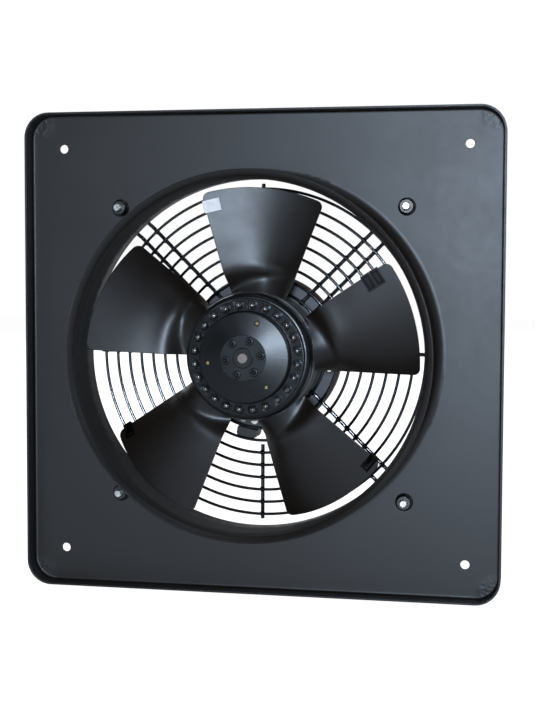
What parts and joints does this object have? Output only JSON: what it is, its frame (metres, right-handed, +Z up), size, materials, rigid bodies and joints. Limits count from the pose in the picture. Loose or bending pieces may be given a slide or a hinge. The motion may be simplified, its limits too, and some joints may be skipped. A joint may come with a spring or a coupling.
{
  "type": "plate axial exhaust fan",
  "caption": "Square plate axial exhaust fan with a drawn nozzle, an external-rotor motor, a twisted blade impeller and a wire guard, for a hood, wall or duct opening.",
  "frame": {"origin": "where the fan axis meets the outlet face of the square plate", "axes": "+Y along the fan axis from the rotor side to the guard side, +Z up, +X to the right as seen from the rotor side"},
  "size_m": [0.375, 0.0998, 0.375],
  "materials": {
    "black_powder": "semi-gloss black powder coat",
    "black_cast": "black painted casting",
    "black_wire": "gloss black coated wire",
    "dark_ring": "dark bare casting",
    "zinc_steel": "bright zinc plate",
    "black_steel": "black oxide",
    "bright_steel": "ground steel",
    "silver_clip": "bright spring steel",
    "lamination": "stacked electrical steel",
    "copper": "enamelled copper",
    "brass": "bare brass",
    "insulation": "moulded insulation",
    "black_plastic": "moulded black plastic"
  },
  "bodies": {
    "frame": {"mounting_plate": "black_powder", "guard_rings": "black_wire", "guard_arms": "black_wire", "guard_spokes": "black_wire", "guard_bolts": "zinc_steel", "guard_washers": "zinc_steel", "flange_nuts": "black_steel", "motor_plate": "black_powder", "motor_screws": "zinc_steel", "cable_gland": "black_plastic", "gland_screws": "zinc_steel", "stator_base": "black_cast", "rear_cap": "black_plastic", "stator_core": "lamination", "slot_insulators": "insulation", "stator_winding": "copper", "front_bearing_outer_ring": "bright_steel", "front_bearing_balls": "bright_steel", "rear_bearing_outer_ring": "bright_steel", "rear_bearing_balls": "bright_steel"},
    "rotor": {"front_bearing_inner_ring": "bright_steel", "rear_bearing_inner_ring": "bright_steel", "shaft": "bright_steel", "retaining_ring": "black_steel", "rotor_shell": "black_cast", "rotor_cage": "lamination", "rotor_end_ring": "dark_ring", "ring_pins": "black_cast", "rotor_hub": "black_steel", "hub_rivets": "black_steel", "brass_plugs": "brass", "impeller": "black_powder", "silver_balance_clip": "silver_clip", "black_balance_clips": "black_steel"}
  },
  "joints": [
    {"name": "impeller_spin", "type": "hinge", "parent": "frame", "child": "rotor", "pos_m": [0, 0, 0], "axis": [0, 1, 0], "continuous": true}
  ]
}
